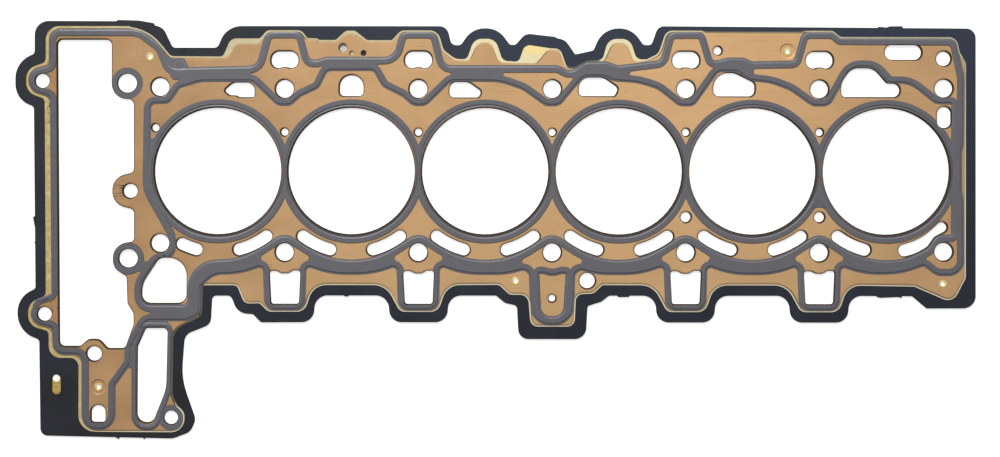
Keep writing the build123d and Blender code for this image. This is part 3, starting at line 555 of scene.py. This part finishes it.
# Hollow rivets. Yellow-passivated steel tubes whose rolled flanges clamp the sheets together.
# Two of them sit lower than the others, on the floors of the coined dishes.
rivet = finish("yellow_passivated_steel", 0.35, 0.3)
worn = grain(rivet, (1, 1, 1), 0.002, 3)
rivet_base = mixed(rivet, ramp(rivet, worn, 0.35, 0.65),
                   colour(212, 186, 104), colour(242, 222, 156))
coat(rivet, rivet_base, worn)

rivet_bore = 0.0016
rivet_barrel = 0.0020
rivet_flange = 0.0027
flange_thickness = 0.00012
flange_round = 0.0001
mouth_round = 0.00025
rivet_sides = 48
round_steps = 4


def round_ring(piece, middle, radius, height, size):
    """Rounds off the edges of a rivet that lie on one circle, in edit mode."""
    bpy.ops.mesh.select_all(action="DESELECT")
    bpy.ops.object.mode_set(mode="OBJECT")
    corners = piece.data.vertices
    for edge in piece.data.edges:
        ends = [corners[index].co for index in edge.vertices]
        off = [abs(Vector((end.x - middle.x, end.y - middle.y)).length - radius) for end in ends]
        level = max(abs(end.z - height) for end in ends) < 0.00001
        edge.select = max(off) < 0.00003 and level
    bpy.ops.object.mode_set(mode="EDIT")
    bpy.ops.mesh.bevel(offset=size, segments=round_steps)


for number in range(1, 6):
    name = f"eyelet_{number}"
    box_low, box_high = (Vector(corner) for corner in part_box(name))
    middle = (box_low + box_high) / 2
    bpy.ops.object.select_all(action="DESELECT")
    bpy.ops.mesh.primitive_cylinder_add(vertices=rivet_sides, radius=rivet_flange,
                                        depth=box_high.z - box_low.z, location=middle)
    tube = bpy.context.object
    tube.name = f"hollow_rivet_{number}"
    bpy.ops.object.transform_apply(location=True, rotation=True, scale=True)
    bpy.ops.object.mode_set(mode="EDIT")
    bpy.ops.mesh.select_mode(type="FACE")
    for cut in (box_low.z + flange_thickness, box_high.z - flange_thickness):
        bpy.ops.mesh.select_all(action="SELECT")
        bpy.ops.mesh.bisect(plane_co=(0, 0, cut), plane_no=(0, 0, 1))
    bpy.ops.object.mode_set(mode="OBJECT")
    for face in tube.data.polygons:
        face.select = abs(face.normal.z) < 0.1 and abs(face.center.z - middle.z) < 0.0003
    bpy.ops.object.mode_set(mode="EDIT")
    waist = {"value": rivet_barrel - rivet_flange}
    bpy.ops.mesh.extrude_region_shrink_fatten(TRANSFORM_OT_shrink_fatten=waist)
    bpy.ops.mesh.select_all(action="DESELECT")
    bpy.ops.object.mode_set(mode="OBJECT")
    # The two round ends are the only faces with more than four corners.
    for face in tube.data.polygons:
        face.select = len(face.vertices) > 8
    bpy.ops.object.mode_set(mode="EDIT")
    bpy.ops.mesh.inset(thickness=rivet_flange - rivet_bore, depth=0)
    bpy.ops.mesh.bridge_edge_loops()
    bpy.ops.mesh.select_mode(type="EDGE")
    round_ring(tube, middle, rivet_flange, box_high.z, flange_round)
    round_ring(tube, middle, rivet_bore, box_high.z, mouth_round)
    bpy.ops.mesh.select_all(action="SELECT")
    bpy.ops.mesh.normals_make_consistent(inside=False)
    bpy.ops.object.mode_set(mode="OBJECT")
    bpy.ops.object.shade_smooth_by_angle(angle=radians(35))
    tube.data.materials.append(rivet)
    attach(tube, "root")
    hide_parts(name)


# Floor, a plain sheet that the gasket lies on. It is white to the eye and to reflections, gives
# the gasket little light, and keeps its shadow.
bpy.ops.object.select_all(action="DESELECT")
bpy.ops.mesh.primitive_plane_add(size=6, location=(0.19, -0.04, -0.0001))
floor = bpy.context.object
floor.name = "floor"
white = finish("white_floor", 0.9, specular=0.0)
shader = white.node_tree.nodes["Principled BSDF"]
shader.inputs["Base Color"].default_value = (0.45, 0.45, 0.45, 1)
shader.inputs["Emission Color"].default_value = (1, 1, 1, 1)
rays = node(white, "ShaderNodeLightPath")
seen = worked(white, "MAXIMUM", rays.outputs["Is Camera Ray"], rays.outputs["Is Glossy Ray"])
seen = worked(white, "MAXIMUM", seen, rays.outputs["Is Transmission Ray"])
feed(white, shader.inputs["Emission Strength"], worked(white, "MULTIPLY", seen, 0.7))
floor.data.materials.append(white)


# Soft studio light: a pale room, and one broad round lamp low over the far side of the sheet,
# which shades the near side of each bead and the far wall of each opening.
room = bpy.data.worlds.new("room")
bpy.context.scene.world = room
room.use_nodes = True
background = room.node_tree.nodes["Background"]
background.inputs["Color"].default_value = (1, 1, 1, 1)
background.inputs["Strength"].default_value = 0.30
bpy.ops.object.light_add(type="AREA", location=(-0.45, 2.3, 1.35))
lamp = bpy.context.object
lamp.name = "broad_lamp"
lamp.data.shape = "DISK"
lamp.data.size = 0.9
lamp.data.energy = 132
aim = Vector((0.20, -0.04, 0)) - lamp.location
lamp.rotation_euler = aim.to_track_quat("-Z", "Y").to_euler()


# Camera, looking straight down from its sight height above the upper sheet. The picture's middle
# lies beside the camera's axis, as in the photograph, so the lens is shifted.
frame_width = 0.68094
frame_middle = (0.192, -0.039)
sight_height = 0.75
eye = (0.150, 0.050, 0.7512)
sensor_width = 36
bpy.ops.object.camera_add(location=eye)
camera = bpy.context.object
camera.rotation_euler = (0, 0, 0.00095)
camera.data.sensor_width = sensor_width
camera.data.lens = sensor_width * sight_height / frame_width
camera.data.shift_x = (frame_middle[0] - eye[0]) / frame_width
camera.data.shift_y = (frame_middle[1] - eye[1]) / frame_width
camera.data.clip_start = 0.01
bpy.context.scene.camera = camera
bpy.context.scene.view_settings.view_transform = "Standard"
